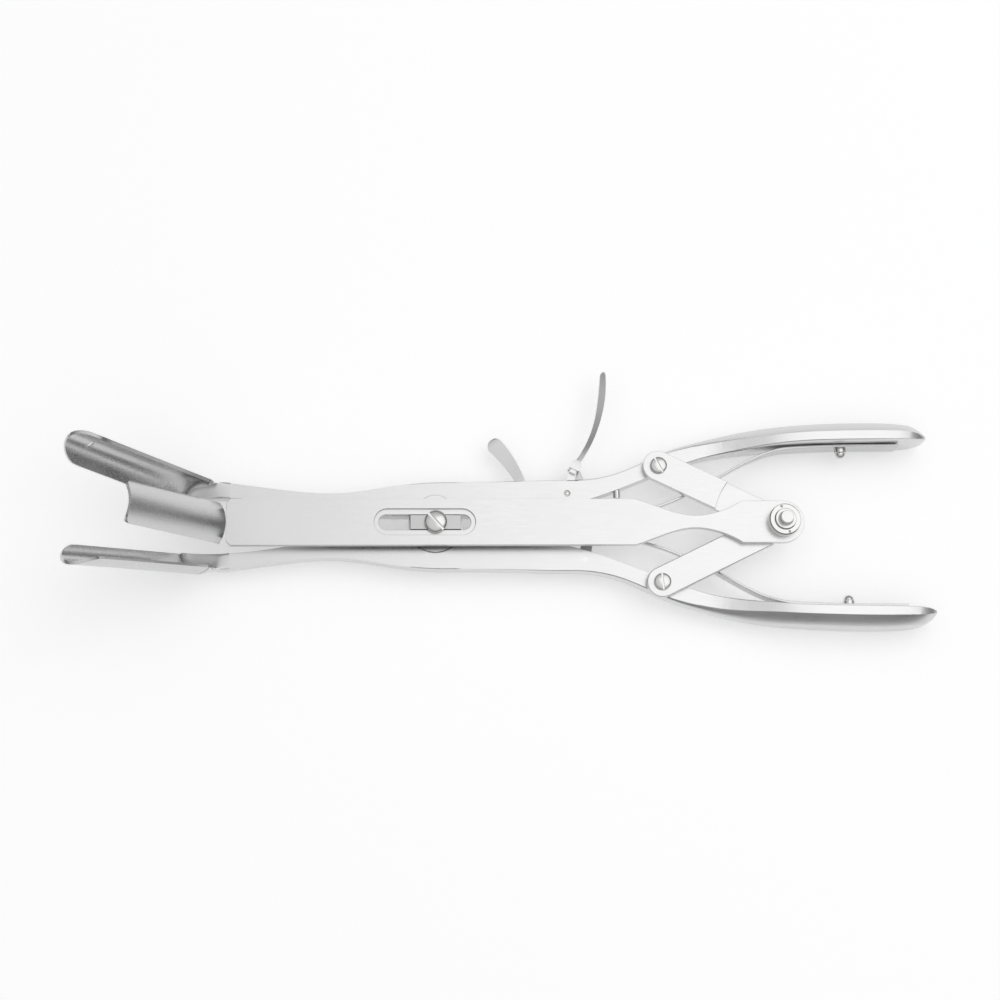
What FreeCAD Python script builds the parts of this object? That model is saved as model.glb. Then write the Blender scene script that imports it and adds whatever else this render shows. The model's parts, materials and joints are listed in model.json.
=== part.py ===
import FreeCAD
import Part
import math
import os

# Three-bladed self-retaining retractor, lying on its back.
# Origin: main pivot axis, in the plane that the part rests on. +X runs to the handles,
# -X to the blades, +Y to the handle that carries the lock lever, +Z is up.
# Modelled at rest: lock engaged, blades a little open. Millimetres and degrees.

V = FreeCAD.Vector
Y_AXIS = V(0, 1, 0)
Z_AXIS = V(0, 0, 1)
ORIGIN = V(0, 0, 0)

SIZES = {
    # flat lever arms
    "lever_bottom": 4.6,
    "lever_thick": 4.5,
    "lap_gap": 0.1,
    "lap_radius": 8.1,
    "lap_clear": 0.35,
    "boss_radius": 5.6,
    "boss_y": 3.3,
    # handles
    "handle_height": 14.0,
    "handle_reach": 151.0,
    "handle_thick": 5.4,
    "handle_inner": 25.4,
    # layers above the arms
    "layer_gap": 0.15,
    "link_thick": 2.4,
    "link_lap": 20.5,
    "link_width": 9.2,
    "bar_thick": 2.2,
    # linkage
    "knee_x": 67.5,
    "knee_y": 17.9,
    "link_length": 41.0,
    "eye_radius": 6.4,
    # centre bar
    "bar_width": 14.0,
    "bar_front": 61.8,
    "bar_shoulder": 60.0,
    "waist_width": 3.8,
    "waist_x": 77.0,
    "lobe_start": 92.0,
    "slot_length": 27.5,
    "slot_width": 4.7,
    "slot_shift": 3.2,
    "recess_length": 30.2,
    "recess_width": 8.0,
    "recess_depth": 0.8,
    # screws and pins
    "block_half": 7.6,
    "block_clear": 0.15,
    "main_shank": 1.7,
    "main_head": 3.35,
    "main_head_high": 2.2,
    "main_nut": 5.5,
    "knee_shank": 1.3,
    "knee_head": 2.5,
    "knee_head_high": 1.3,
    "knee_open_play": 0.5,
    "rear_shank": 2.2,
    "rear_nut": 4.8,
    "rear_nut_high": 3.2,
    "rear_flange": 4.2,
    "flange_high": 1.5,
    "rear_collar": 0.7,
    "rear_post": 2.5,
    "post_radius": 1.9,
    "run_fit": 0.05,
    "driver_slot": 0.8,
    # blades
    "blade_rise": 48.0,
    "blade_radius": 8.5,
    "blade_wall": 1.0,
    "side_half": 56.0,
    "centre_half": 48.0,
    "side_length": 48.0,
    "centre_length": 37.0,
    "side_toe": 8.5,
    "side_root_x": 70.5,
    "side_axis_y": 6.2,
    "eyelet_long": 3.4,
    "eyelet_wide": 1.3,
    "eyelet_back": 8.0,
    # leaf springs
    "leaf_thick": 0.8,
    "leaf_high": 6.0,
    "leaf_tip_high": 1.7,
    "leaf_tip_x": 56.0,
    "leaf_tip_y": 3.2,
    "stud_x": 124.5,
    "stud_radius": 1.9,
    "stud_high": 3.0,
    # ratchet and lock
    "rack_radius": 46.0,
    "rack_wide": 3.4,
    "rack_thick": 1.4,
    "rack_bottom": 4.9,
    "rack_start": -15.0,
    "rack_end": 24.0,
    "rack_head": 1.45,
    "tooth_depth": 0.8,
    "tooth_step": 1.5,
    "lock_inset": 4.89,
    "lock_angle": 13.935,
    "lock_pin": 1.0,
    "lock_bottom": 6.6,
    "lock_thick": 1.8,
    "finger_thick": 1.5,
    "finger_high": 3.0,
    "lock_hub": 2.1,
    "nose_clear": 0.2,
    "small_long": 2.4,
    "small_head": 1.1,
    "rest_bottom": 5.2,
    "rest_thick": 1.6,
}

doc = FreeCAD.newDocument("retractor")
sheet = doc.addObject("Spreadsheet::Sheet", "Sizes")
for row, (alias, value) in enumerate(SIZES.items(), start=1):
    sheet.set("A%d" % row, alias)
    sheet.set("B%d" % row, repr(value))
    sheet.setAlias("B%d" % row, alias)
doc.recompute()


def size(alias):
    return float(getattr(sheet, alias))


# Heights of the layers, from the arms up
LEVER_TOP = size("lever_bottom") + size("lever_thick")
LAP_Z = size("lever_bottom") + size("lever_thick") / 2
LINK_Z = LEVER_TOP + size("layer_gap")
LINK_TOP = LINK_Z + size("link_thick")
BAR_Z = LINK_TOP + size("layer_gap")
BAR_TOP = BAR_Z + size("bar_thick")
REAR_X = size("knee_x") + math.sqrt(size("link_length") ** 2 - size("knee_y") ** 2)
RISE = math.radians(size("blade_rise"))
MAIN_SEAT = BAR_TOP - size("recess_depth") + 0.1
RACK_HOLE_ANGLE = -13.2
RACK_SCREW = 0.8


def origin_plane(body, role):
    return [item for item in body.Origin.OriginFeatures if item.Role == role][0]


def new_body(label):
    body = doc.addObject("PartDesign::Body", label)
    body.Label = label
    return body


def sketch_on(body, name, edges, role="XY_Plane", level="0"):
    sketch = body.newObject("Sketcher::SketchObject", name)
    sketch.AttachmentSupport = [(origin_plane(body, role), "")]
    sketch.MapMode = "FlatFace"
    sketch.setExpression(".AttachmentOffset.Base.z", level)
    for edge in edges:
        sketch.addGeometry(edge, False)
    doc.recompute()
    return sketch


def pad(body, name, edges, length, level="0", role="XY_Plane"):
    feature = body.newObject("PartDesign::Pad", name)
    feature.Profile = sketch_on(body, name + "_outline", edges, role, level)
    feature.setExpression("Length", length)
    doc.recompute()
    return feature


def pocket(body, name, edges, length, level="0", role="XY_Plane", upward=True):
    """Cut from the sketch's level, upward along the plane's normal or down."""
    feature = body.newObject("PartDesign::Pocket", name)
    feature.Profile = sketch_on(body, name + "_outline", edges, role, level)
    feature.setExpression("Length", length)
    feature.Reversed = upward
    before = body.Shape.Volume
    doc.recompute()
    if body.Shape.Volume >= before:
        raise RuntimeError(name + " cuts nothing")
    return feature


def circle(x, y, radius):
    return Part.Circle(V(x, y, 0), Z_AXIS, radius)


def polygon(points):
    loop = [V(x, y, 0) for x, y in points]
    return [Part.LineSegment(a, b) for a, b in zip(loop, loop[1:] + loop[:1])]


def smooth(points):
    curve = Part.BSplineCurve()
    curve.interpolate([V(x, y, 0) for x, y in points])
    return curve


def stadium(x, y, length, width):
    """Slot outline along X, centred on x, y."""
    r = width / 2
    h = length / 2 - r
    return [
        Part.LineSegment(V(x - h, y + r, 0), V(x + h, y + r, 0)),
        Part.Arc(V(x + h, y + r, 0), V(x + h + r, y, 0), V(x + h, y - r, 0)),
        Part.LineSegment(V(x + h, y - r, 0), V(x - h, y - r, 0)),
        Part.Arc(V(x - h, y - r, 0), V(x - h - r, y, 0), V(x - h, y + r, 0)),
    ]


def at_angle(radius, degrees, x=0.0, y=0.0):
    a = math.radians(degrees)
    return V(x + radius * math.cos(a), y + radius * math.sin(a), 0)


LOCK = at_angle(size("rack_radius") - size("lock_inset"), size("lock_angle"))
PIN_FOOT = 5.0


def mirrored(points, side):
    return [(x, side * y) for x, y in points]


def cylinder(label, radius, height, x, y, z):
    rod = doc.addObject("Part::Cylinder", label)
    rod.setExpression("Radius", radius)
    rod.setExpression("Height", height)
    rod.Placement = FreeCAD.Placement(V(x, y, z), FreeCAD.Rotation())
    return rod


def fuse(label, items):
    joined = doc.addObject("Part::MultiFuse", label)
    joined.Label = label
    joined.Shapes = items
    joined.Refine = True
    return joined


def cut(label, base, tool):
    result = doc.addObject("Part::Cut", label)
    result.Label = label
    result.Base = base
    result.Tool = tool
    return result


def driver_slot(name, x, y, top, reach, turn):
    """Box for the screwdriver slot of a screw head."""
    depth = 0.6
    box = doc.addObject("Part::Box", name)
    box.setExpression("Width", "Sizes.driver_slot")
    box.Length = 2 * reach
    box.Height = depth * 2
    spin = FreeCAD.Rotation(Z_AXIS, turn)
    corner = spin.multVec(V(-reach, -size("driver_slot") / 2, 0))
    box.Placement = FreeCAD.Placement(V(x, y, top - depth) + corner, spin)
    return box


def slotted_screw(label, x, y, levels, sizes, turn):
    """Screw with a slotted cheese head: levels are foot, seat and crown of the head."""
    foot, seat, crown = levels
    shank_alias, head_alias = sizes
    shank = cylinder(label + "_shank", "Sizes." + shank_alias, str(seat - foot), x, y, foot)
    head = cylinder(label + "_head", "Sizes." + head_alias, str(crown - seat), x, y, seat)
    blank = fuse(label + "_blank", [shank, head])
    return cut(label, blank, driver_slot(label + "_slot", x, y, crown, size(head_alias) + 1, turn))


def centre_bar():
    """Long plate with a waist, a rear eye and a recessed guide slot."""
    half = size("bar_width") / 2
    waist = size("waist_width") / 2
    eye = size("eye_radius")
    front = -size("bar_front")
    corner = 1.2
    right = [
        (size("bar_shoulder"), half),
        (size("bar_shoulder") + 6, half - 2.2),
        (size("waist_x"), waist),
        (size("lobe_start") - 7, waist + 1.2),
        (size("lobe_start"), eye),
    ]
    upper = smooth(right)
    lower = smooth([(x, -y) for x, y in reversed(right)])
    edges = [
        Part.LineSegment(V(front, -half + corner, 0), V(front, half - corner, 0)),
        Part.LineSegment(V(front, half - corner, 0), V(front + corner, half, 0)),
        Part.LineSegment(V(front + corner, half, 0), V(right[0][0], half, 0)),
        upper,
        Part.LineSegment(V(right[-1][0], eye, 0), V(REAR_X, eye, 0)),
        Part.Arc(V(REAR_X, eye, 0), V(REAR_X + eye, 0, 0), V(REAR_X, -eye, 0)),
        Part.LineSegment(V(REAR_X, -eye, 0), V(right[-1][0], -eye, 0)),
        lower,
        Part.LineSegment(V(right[0][0], -half, 0), V(front + corner, -half, 0)),
        Part.LineSegment(V(front + corner, -half, 0), V(front, -half + corner, 0)),
    ]
    body = new_body("centre_bar")
    pad(body, "bar_plate", edges, "Sizes.bar_thick", str(BAR_Z))
    pocket(body, "bar_slot", stadium(-size("slot_shift"), 0, size("slot_length"), size("slot_width")),
           "Sizes.bar_thick * 2", str(BAR_Z - 1))
    pocket(body, "bar_recess", stadium(-size("slot_shift"), 0, size("recess_length"),
           size("recess_width")), "Sizes.recess_depth * 2", "%s - Sizes.recess_depth" % BAR_TOP)
    pocket(body, "bar_eye", [circle(REAR_X, 0, size("rear_shank") + size("run_fit"))],
           "Sizes.bar_thick * 2", str(BAR_Z - 1))
    return body


def gutter(label, length, half_angle, tip_edges, roll, root, toe, eyelet):
    """Trough blade. Local +Z runs to the tip, local +X is the blade's crown."""
    outer = size("blade_radius")
    inner = outer - size("blade_wall")
    half = math.radians(half_angle)
    top_out = at_angle(outer, half_angle)
    low_out = at_angle(outer, -half_angle)
    top_in = at_angle(inner, half_angle)
    low_in = at_angle(inner, -half_angle)
    section = [
        Part.Arc(low_out, V(outer, 0, 0), top_out),
        Part.LineSegment(top_out, top_in),
        Part.Arc(top_in, V(inner, 0, 0), low_in),
        Part.LineSegment(low_in, low_out),
    ]
    body = new_body(label)
    pad(body, label + "_trough", section, length)
    reach = outer * math.sin(half) + 1
    pocket(body, label + "_tip", tip_edges(reach), "Sizes.blade_radius * 2", "0", "YZ_Plane")
    if eyelet:
        centre = size("side_length") - size("eyelet_back")
        hole = stadium(0, centre, size("eyelet_long"), size("eyelet_wide"))
        pocket(body, label + "_eyelet", hole, "Sizes.blade_radius * 2", "0", "YZ_Plane")
    lean = FreeCAD.Rotation(Y_AXIS, -(90 - size("blade_rise")))
    turn = FreeCAD.Rotation(Z_AXIS, toe)
    spin = FreeCAD.Rotation(Z_AXIS, roll)
    body.Placement = FreeCAD.Placement(root, turn.multiply(lean).multiply(spin))
    return body


def round_tip(reach):
    """Waste beyond a round blade tip, in the plane of width and length."""
    end = size("side_length")
    r = size("blade_radius") * math.sin(math.radians(size("side_half")))
    return [
        Part.Arc(V(r, end - r, 0), V(0, end, 0), V(-r, end - r, 0)),
        Part.LineSegment(V(-r, end - r, 0), V(-reach, end - r, 0)),
        Part.LineSegment(V(-reach, end - r, 0), V(-reach, end + 2, 0)),
        Part.LineSegment(V(-reach, end + 2, 0), V(reach, end + 2, 0)),
        Part.LineSegment(V(reach, end + 2, 0), V(reach, end - r, 0)),
        Part.LineSegment(V(reach, end - r, 0), V(r, end - r, 0)),
    ]


def square_tip(reach):
    """Waste beyond a square blade tip with rounded corners."""
    end = size("centre_length")
    half = size("blade_radius") * math.sin(math.radians(size("centre_half")))
    r = 2.4
    s = r * math.sqrt(0.5)
    return [
        Part.LineSegment(V(-half + r, end, 0), V(half - r, end, 0)),
        Part.Arc(V(half - r, end, 0), V(half - r + s, end - r + s, 0), V(half, end - r, 0)),
        Part.LineSegment(V(half, end - r, 0), V(reach, end - r, 0)),
        Part.LineSegment(V(reach, end - r, 0), V(reach, end + 2, 0)),
        Part.LineSegment(V(reach, end + 2, 0), V(-reach, end + 2, 0)),
        Part.LineSegment(V(-reach, end + 2, 0), V(-reach, end - r, 0)),
        Part.LineSegment(V(-reach, end - r, 0), V(-half, end - r, 0)),
        Part.Arc(V(-half, end - r, 0), V(-half + r - s, end - r + s, 0), V(-half + r, end, 0)),
    ]


def side_root(side):
    return V(-size("side_root_x"), side * size("side_axis_y"), LAP_Z + 3.0)


def centre_root():
    """Axis point of the centre blade: its crown starts at the front edge of the bar."""
    crown = V(math.sin(RISE), 0, math.cos(RISE)) * (size("blade_radius") - 0.02)
    return V(-size("bar_front") - 0.05, 0, BAR_TOP) - crown


OUTER = [(-69, 14.6), (-61, 13.2), (-50, 11.7), (-40.5, 10.5), (-27, 10.2), (-13, 12.2), (-3, 13.4),
         (9, 13.6), (24, 13.9), (36, 14.3), (45, 14.5), (54, 16.2), (62, 19.4), (70, 23.2), (80.5, 26.6)]
INNER = [(-69, 8.6), (-60, 8.3), (-50, 7.2), (-40, 5.4), (-25, 3.3), (0, 3.0), (22, 3.4), (34, 4.9),
         (43.5, 7.1), (52, 9.8), (62.7, 14.0), (71, 17.3), (80.5, 20.6)]


def handle_edges():
    """Handle outline from the arm to the rounded end."""
    end = size("handle_reach")
    inner = size("handle_inner")
    outer = inner + size("handle_thick")
    out_run = [(80.5, 26.6), (92, 29.2), (107.5, outer), (127, outer + 0.9), (end - 9, outer + 0.6)]
    in_run = [(80.5, 20.6), (92, 22.9), (107.5, inner - 0.7), (127, inner), (end - 7, inner + 0.3)]
    return out_run, in_run, [(end - 2.5, outer - 1.0), (end, inner + 1.4), (end - 2.5, inner + 0.45)]


def lever(label, side, lower_lap):
    """Forged arm and handle. The lap half of the main pivot is the lower or the upper one."""
    out_run, in_run, end_run = handle_edges()
    outer = smooth(mirrored(OUTER + out_run[1:] + end_run[:2], side))
    inner = smooth(mirrored(INNER + in_run[1:] + end_run[2:], side))
    front = Part.LineSegment(V(OUTER[0][0], side * OUTER[0][1], 0), V(INNER[0][0], side * INNER[0][1], 0))
    nose_from = V(end_run[1][0], side * end_run[1][1], 0)
    nose_to = V(end_run[2][0], side * end_run[2][1], 0)
    body = new_body(label)
    pad(body, label + "_plan", [outer, front, inner, Part.LineSegment(nose_from, nose_to)],
        "Sizes.handle_height")
    top = size("handle_height")
    middle = top / 2
    low = size("lever_bottom")
    tip = size("handle_reach")
    far = 80
    upper_cut = [
        Part.LineSegment(V(-far, LEVER_TOP, 0), V(83, LEVER_TOP, 0)),
        smooth([(83, LEVER_TOP), (92, LEVER_TOP + 1.2), (104, top - 1.1), (116, top - 0.05),
                (tip - 14, top - 0.05), (tip - 4, top - 1.4), (tip + 0.5, middle + 2.2)]),
        Part.LineSegment(V(tip + 0.5, middle + 2.2, 0), V(tip + 2, top + 2, 0)),
        Part.LineSegment(V(tip + 2, top + 2, 0), V(-far, top + 2, 0)),
        Part.LineSegment(V(-far, top + 2, 0), V(-far, LEVER_TOP, 0)),
    ]
    lower_cut = [
        Part.LineSegment(V(-far, low, 0), V(72, low, 0)),
        smooth([(72, low), (84, low - 1.2), (99, 1.1), (114, 0.05), (tip - 14, 0.05), (tip - 4, 1.4),
                (tip + 0.5, middle - 2.2)]),
        Part.LineSegment(V(tip + 0.5, middle - 2.2, 0), V(tip + 2, -2, 0)),
        Part.LineSegment(V(tip + 2, -2, 0), V(-far, -2, 0)),
        Part.LineSegment(V(-far, -2, 0), V(-far, low, 0)),
    ]
    for name, edges in (("_over", upper_cut), ("_under", lower_cut)):
        trim = body.newObject("PartDesign::Pocket", label + name)
        trim.Profile = sketch_on(body, label + name + "_side", edges, "XZ_Plane")
        trim.Type = 1
        trim.Midplane = True
        doc.recompute()
    disc = [circle(0, 0, size("lap_radius"))]
    pad(body, label + "_disc", disc, "Sizes.lever_thick", "Sizes.lever_bottom")
    if not lower_lap:
        boss = [circle(0, size("boss_y"), size("boss_radius"))]
        pad(body, label + "_boss", boss, str(BAR_Z - size("layer_gap") - LEVER_TOP), str(LEVER_TOP))
    clear = [circle(0, 0, size("lap_radius") + size("lap_clear"))]
    half_lap = "Sizes.lever_thick / 2 + Sizes.lap_gap / 2"
    if lower_lap:
        pocket(body, label + "_lap", clear, half_lap, str(LAP_Z - size("lap_gap") / 2))
    else:
        pocket(body, label + "_lap", clear, half_lap, str(LAP_Z + size("lap_gap") / 2), upward=False)
    pocket(body, label + "_bore", [circle(0, 0, size("main_shank") + size("run_fit"))], "30", "0")
    pocket(body, label + "_knee", [circle(size("knee_x"), side * size("knee_y"),
           size("knee_shank"))], "30", "0")
    return body


def neck(label, side):
    """Solid wedge that carries a side blade at the front of its arm."""
    r = size("blade_radius")
    start = 120 - size("side_half")
    stop = 120 + size("side_half")
    core = r - 3.2
    a = at_angle(r, start)
    b = at_angle(r, 120)
    c = at_angle(r, stop)
    face = Part.Face(Part.Wire([
        Part.Arc(a, b, c).toShape(),
        Part.LineSegment(c, at_angle(core, stop)).toShape(),
        Part.Arc(at_angle(core, stop), at_angle(core, 120), at_angle(core, start)).toShape(),
        Part.LineSegment(at_angle(core, start), a).toShape(),
    ]))
    wedge = face.extrude(V(0, 0, -7.0))
    if side < 0:
        wedge = wedge.mirror(ORIGIN, Y_AXIS)
    lean = FreeCAD.Rotation(Y_AXIS, -(90 - size("blade_rise")))
    turn = FreeCAD.Rotation(Z_AXIS, -side * size("side_toe"))
    wedge.Placement = FreeCAD.Placement(side_root(side), turn.multiply(lean)).multiply(wedge.Placement)
    slab = Part.makeBox(40, 60, LEVER_TOP + 2.4 - 2.6, V(-90, -30, 2.6))
    feature = doc.addObject("Part::Feature", label)
    feature.Shape = wedge.common(slab)
    return feature


def link(label, side, lower_half):
    """Knee link, half-lapped at its rear eye so that both links lie in one layer."""
    half = size("link_width") / 2
    eye = size("eye_radius") - 0.6
    knee = V(size("knee_x"), side * size("knee_y"), 0)
    rear = V(REAR_X, 0, 0)
    along = (rear - knee).normalize()
    across = V(-along.y, along.x, 0)
    edges = [
        Part.Arc(knee + across * half, knee - along * half, knee - across * half),
        Part.LineSegment(knee - across * half, rear - across * half),
        Part.LineSegment(rear - across * half, rear + across * half),
        Part.LineSegment(rear + across * half, knee + across * half),
    ]
    body = new_body(label)
    pad(body, label + "_shank", edges, "Sizes.link_thick", str(LINK_Z))
    pad(body, label + "_eye", [circle(REAR_X, 0, eye)], "Sizes.link_thick", str(LINK_Z))
    lap = [circle(REAR_X, 0, size("link_lap"))]
    middle = LINK_Z + size("link_thick") / 2
    gap = size("lap_gap") / 2
    if lower_half:
        pocket(body, label + "_lap", lap, "Sizes.link_thick", str(middle - gap))
    else:
        pocket(body, label + "_lap", lap, "Sizes.link_thick", str(middle + gap), upward=False)
    pocket(body, label + "_rear_hole", [circle(REAR_X, 0, size("rear_shank") + size("run_fit"))],
           "Sizes.link_thick * 2", str(LINK_Z - 1))
    pocket(body, label + "_knee_hole", [circle(knee.x, knee.y, size("knee_shank") + size("knee_open_play"))],
           "Sizes.link_thick * 2", str(LINK_Z - 1))
    return body


def knee_screw(label, side, turn):
    """Screw in the arm. The link's eye floats round its shank, under the head."""
    seat = LINK_TOP + 0.1
    levels = (size("lever_bottom") + 0.4, seat, seat + size("knee_head_high"))
    return slotted_screw(label, size("knee_x"), side * size("knee_y"), levels,
                         ("knee_shank", "knee_head"), turn)


def slide_block():
    """Square-cornered block that carries the main screw along the bar's slot."""
    long_half = size("block_half")
    wide_half = size("slot_width") / 2 - size("block_clear")
    top = MAIN_SEAT
    foot = BAR_Z - size("layer_gap") + 0.02
    body = new_body("slide_block")
    pad(body, "block_plate", polygon([(-long_half, -wide_half), (long_half, -wide_half),
        (long_half, wide_half), (-long_half, wide_half)]), str(top - foot), str(foot))
    pocket(body, "block_bore", [circle(0, 0, size("main_shank"))], "Sizes.bar_thick * 2", str(foot - 1))
    return body


def rear_bolt():
    """Rear pivot: a flanged bolt from below, through links, bar and nut, with a thinner end post."""
    seat = LINK_Z - 0.2
    high = size("flange_high")
    top = BAR_TOP + size("rear_nut_high") + size("rear_collar")
    flange = cylinder("rear_flange", "Sizes.rear_flange", "Sizes.flange_high", REAR_X, 0, seat - high)
    stem = cylinder("rear_stem", "Sizes.rear_shank", str(top - seat), REAR_X, 0, seat)
    post = cylinder("rear_end", "Sizes.post_radius", "Sizes.rear_post", REAR_X, 0, top)
    return fuse("rear_bolt", [flange, stem, post])


def rear_nut():
    """Round nut with a raised collar."""
    seat = BAR_TOP
    r = size("rear_nut")
    washer = new_body("rear_nut")
    pad(washer, "nut_round", [circle(REAR_X, 0, r)], "Sizes.rear_nut_high", str(seat))
    pad(washer, "nut_collar", [circle(REAR_X, 0, r - 1.6)], "Sizes.rear_nut_high + Sizes.rear_collar", str(seat))
    pocket(washer, "nut_bore", [circle(REAR_X, 0, size("rear_shank"))], "20", str(seat - 1))
    return washer


def leaf_spring(label, side, level_low):
    """Leaf from the handle's stud to a narrow tip beside the centre line."""
    thick = size("leaf_thick")
    inner = size("handle_inner")
    tip_x = size("leaf_tip_x")
    tip_y = size("leaf_tip_y")
    run = [(tip_x, tip_y), (67.5, 5.6), (84.4, 13.6), (95, 19.6), (104, 23.0), (112, inner - 1.55),
           (124, inner - 1.05), (142, inner - 0.9)]
    back = [(x + 0.15, y + thick) for x, y in run]
    edges = [
        smooth(mirrored(run, side)),
        Part.LineSegment(V(run[-1][0], side * run[-1][1], 0), V(back[-1][0], side * back[-1][1], 0)),
        smooth(mirrored(list(reversed(back)), side)),
        Part.LineSegment(V(back[0][0], side * back[0][1], 0), V(run[0][0], side * run[0][1], 0)),
    ]
    body = new_body(label)
    pad(body, label + "_strip", edges, "Sizes.handle_height")
    middle = size("handle_height") / 2
    half = size("leaf_high") / 2
    far = size("handle_reach") + 5
    near = tip_x - 5
    low = level_low
    high = level_low + size("leaf_tip_high")
    below_link = LINK_Z - 0.35
    over = [(near, high), (tip_x + 24, high), (tip_x + 32, below_link), (tip_x + 42, below_link),
            (tip_x + 50, middle + half), (far, middle + half), (far, 20), (near, 20)]
    under = [(near, low), (near, -5), (far, -5), (far, middle - half), (tip_x + 42, middle - half),
             (tip_x + 26, low)]
    for name, waste in (("_over", over), ("_under", under)):
        trim = body.newObject("PartDesign::Pocket", label + name)
        trim.Profile = sketch_on(body, label + name + "_side", polygon(waste), "XZ_Plane")
        trim.Type = 1
        trim.Midplane = True
        doc.recompute()
    return body


def stud(label, side):
    """Tapered rivet that clamps the leaf to the inner face of the handle."""
    seat = size("handle_inner") - 1.1
    rivet = doc.addObject("Part::Cone", label)
    rivet.setExpression("Radius1", "Sizes.stud_radius")
    rivet.setExpression("Radius2", "Sizes.stud_radius * 0.7")
    rivet.setExpression("Height", "Sizes.stud_high")
    turn = FreeCAD.Rotation(Z_AXIS, V(0, -side, 0))
    place = V(size("stud_x"), side * seat, size("handle_height") / 2)
    rivet.Placement = FreeCAD.Placement(place, turn)
    return rivet


def ratchet_rack():
    """Toothed arc about the main pivot, screwed to the lower lever."""
    outer = size("rack_radius") + size("rack_wide") / 2
    inner = size("rack_radius") - size("rack_wide") / 2
    start = size("rack_start")
    end = size("rack_end")
    points = []
    angle = 8.0
    while angle < end - size("tooth_step"):
        points.append(at_angle(inner, angle))
        points.append(at_angle(inner + size("tooth_depth"), angle + 0.15))
        angle += size("tooth_step")
    teeth = [V(p.x, p.y, 0) for p in points]
    a = at_angle(outer, start)
    b = at_angle(outer, end)
    c = at_angle(inner, end)
    d = at_angle(inner, start)
    edges = [Part.Arc(a, at_angle(outer, (start + end) / 2), b), Part.LineSegment(b, c)]
    chain = [c] + list(reversed(teeth))
    edges += [Part.LineSegment(p, q) for p, q in zip(chain, chain[1:])]
    edges += [Part.Arc(chain[-1], at_angle(inner, (start + 8.0) / 2), d), Part.LineSegment(d, a)]
    body = new_body("ratchet_rack")
    pad(body, "rack_arc", edges, "Sizes.rack_thick", str(size("rack_bottom")))
    hole = at_angle(size("rack_radius"), RACK_HOLE_ANGLE)
    pocket(body, "rack_hole", [circle(hole.x, hole.y, RACK_SCREW)], "9", "0")
    return body


def rack_groove(label, start, end):
    """Groove for the rack in the underside of an arm."""
    clear = 0.25
    outer = size("rack_radius") + size("rack_wide") / 2 + clear
    inner = size("rack_radius") - size("rack_wide") / 2 - clear
    face = Part.Face(Part.Wire([
        Part.Arc(at_angle(outer, start), at_angle(outer, (start + end) / 2), at_angle(outer, end)).toShape(),
        Part.LineSegment(at_angle(outer, end), at_angle(inner, end)).toShape(),
        Part.Arc(at_angle(inner, end), at_angle(inner, (start + end) / 2), at_angle(inner, start)).toShape(),
        Part.LineSegment(at_angle(inner, start), at_angle(outer, start)).toShape(),
    ]))
    tool = doc.addObject("Part::Feature", label)
    tool.Shape = face.extrude(V(0, 0, size("rack_bottom") + size("rack_thick") + clear))
    return tool


def write_model(parts):
    doc.recompute()
    for item in doc.Objects:
        if "Invalid" in item.State or "Error" in item.State:
            raise RuntimeError(item.Label + " failed: " + str(item.State))
    os.makedirs("parts", exist_ok=True)
    for item in parts:
        shape = item.Shape
        if shape.isNull() or not shape.isValid() or not shape.Solids:
            raise RuntimeError(item.Label + " has no valid solid")
        shape.exportStep(os.path.join("parts", item.Label + ".step"))
        box = shape.BoundBox
        print("%-20s solids %d volume %9.1f z %.2f..%.2f" % (
            item.Label, len(shape.Solids), shape.Volume, box.ZMin, box.ZMax))


def plate(label, edges, bottom, height):
    """Flat piece cut from sheet."""
    body = new_body(label)
    pad(body, label + "_plate", edges, height, str(bottom))
    return body


def ribbon(centre, thick):
    """Outline of a curved strip of even thickness along a centre line."""
    count = len(centre)
    left = []
    right = []
    for index, (x, y) in enumerate(centre):
        before = centre[max(index - 1, 0)]
        after = centre[min(index + 1, count - 1)]
        along = V(after[0] - before[0], after[1] - before[1], 0).normalize()
        half = thick[index] / 2
        left.append((x - along.y * half, y + along.x * half))
        right.append((x + along.y * half, y - along.x * half))
    tip = V(*centre[-1], 0) + along * half
    return [
        smooth(left),
        Part.Arc(V(*left[-1], 0), tip, V(*right[-1], 0)),
        smooth(right[::-1]),
        Part.LineSegment(V(*right[0], 0), V(*left[0], 0)),
    ]


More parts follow.
